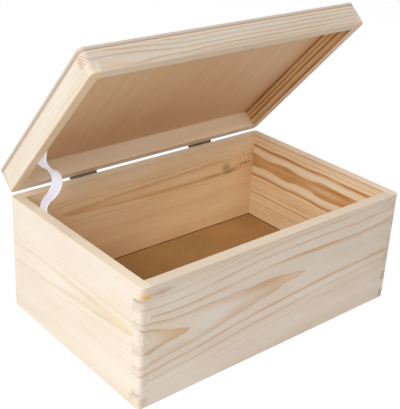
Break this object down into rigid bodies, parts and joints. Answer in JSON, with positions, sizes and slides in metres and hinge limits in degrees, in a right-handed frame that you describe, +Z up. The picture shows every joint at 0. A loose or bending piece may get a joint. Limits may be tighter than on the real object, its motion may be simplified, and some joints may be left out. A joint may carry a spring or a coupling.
{
  "type": "hinged wooden storage box",
  "caption": "Box-jointed pine storage box with a framed lid on two small hinges and a ribbon that limits how far it opens.",
  "frame": {"origin": "on the surface the box stands on, at the middle of the whole object with its lid standing part open, which is 8.8 mm behind the middle of the body's own footprint", "axes": "+X to the right along the front, +Y from the front to the hinged back, +Z up"},
  "size_m": [0.3, 0.2124, 0.274],
  "materials": {
    "pine_front": "sanded, unfinished",
    "pine_back": "sanded, unfinished",
    "pine_left": "sanded, unfinished",
    "pine_right": "sanded, unfinished",
    "pine_lid_front": "sanded, unfinished",
    "pine_lid_back": "sanded, unfinished",
    "pine_lid_left": "sanded, unfinished",
    "pine_lid_right": "sanded, unfinished",
    "hardboard": "smooth pressed board",
    "plywood": "sanded, unfinished",
    "bronzed_steel": "dark bronzed",
    "bronzed_screw": "dark bronzed",
    "staple_wire": "zinc plated",
    "ribbon_weave": "woven, satin edge"
  },
  "bodies": {
    "box": {"front_board": "pine_front", "back_board": "pine_back", "left_board": "pine_left", "right_board": "pine_right", "bottom_panel": "hardboard", "left_hinge_body_leaf": "bronzed_steel", "right_hinge_body_leaf": "bronzed_steel", "left_hinge_pin": "bronzed_steel", "right_hinge_pin": "bronzed_steel", "hinge_body_screws": "bronzed_screw", "ribbon_body_staple": "staple_wire", "ribbon": "ribbon_weave"},
    "lid": {"lid_front_rail": "pine_lid_front", "lid_back_rail": "pine_lid_back", "lid_left_rail": "pine_lid_left", "lid_right_rail": "pine_lid_right", "lid_panel": "plywood", "left_hinge_lid_leaf": "bronzed_steel", "right_hinge_lid_leaf": "bronzed_steel", "hinge_lid_screws": "bronzed_screw", "ribbon_lid_staple": "staple_wire"}
  },
  "joints": [
    {"name": "lid_hinge", "type": "hinge", "parent": "box", "child": "lid", "pos_m": [0, 0.0901, 0.1124], "axis": [-1, 0, 0], "range_deg": [-48.2, 12], "deforming": ["ribbon"]}
  ]
}
